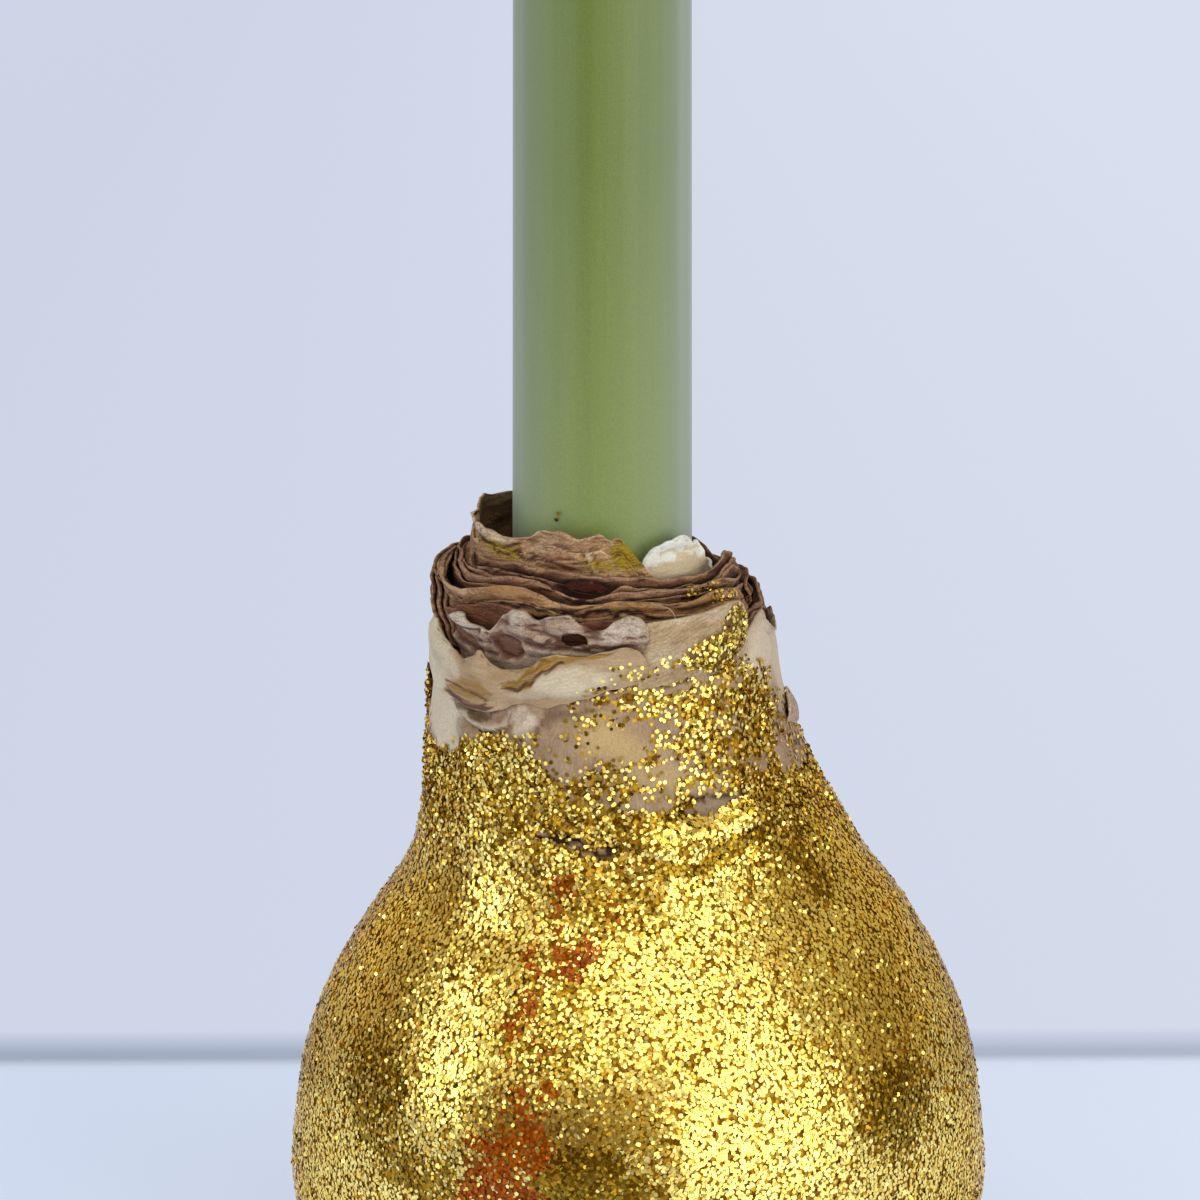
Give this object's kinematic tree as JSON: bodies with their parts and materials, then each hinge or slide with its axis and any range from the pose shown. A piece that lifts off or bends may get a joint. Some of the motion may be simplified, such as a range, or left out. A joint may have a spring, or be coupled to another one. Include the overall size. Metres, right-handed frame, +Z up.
{
  "type": "amaryllis bulb",
  "caption": "Round amaryllis bulb with a gold glitter coat, a leaning neck of torn papery scales and a short hollow green stem cut off square.",
  "frame": {"origin": "middle of the flat resting spot under the bulb", "axes": "+Z up along the stem, front towards -Y, the neck leans towards -X"},
  "size_m": [0.0927, 0.0896, 0.194],
  "materials": {
    "gold_glitter": "coarse gold glitter flakes over the bulb's skin",
    "green_stem": "smooth fresh green stem with a pale bloom",
    "white_flesh": "fresh white bulb scale",
    "tan_paper": "dry tan scale with fine upright fibres and olive spots",
    "brown_paper": "dry brown papery scale",
    "ochre_paper": "dry ochre papery scale",
    "dark_paper": "dry dark red-brown papery scale",
    "mauve_skin": "mauve-grey wilted scale, matt and lumpy",
    "pale_skin": "pale waxy outer skin with golden streaks"
  },
  "bodies": {
    "root": {"bulb": "gold_glitter", "flower_stem": "green_stem", "white_scale": "white_flesh", "collar_scale": "tan_paper", "inner_scale_1": "brown_paper", "inner_scale_2": "brown_paper", "ochre_scale": "ochre_paper", "rear_scale": "brown_paper", "dark_scale": "dark_paper", "lip_scale": "mauve_skin", "flap_scale": "tan_paper", "left_scale": "dark_paper", "back_scale": "brown_paper", "wrap_scale": "pale_skin", "left_flake": "dark_paper", "right_flake": "pale_skin"}
  },
  "joints": []
}
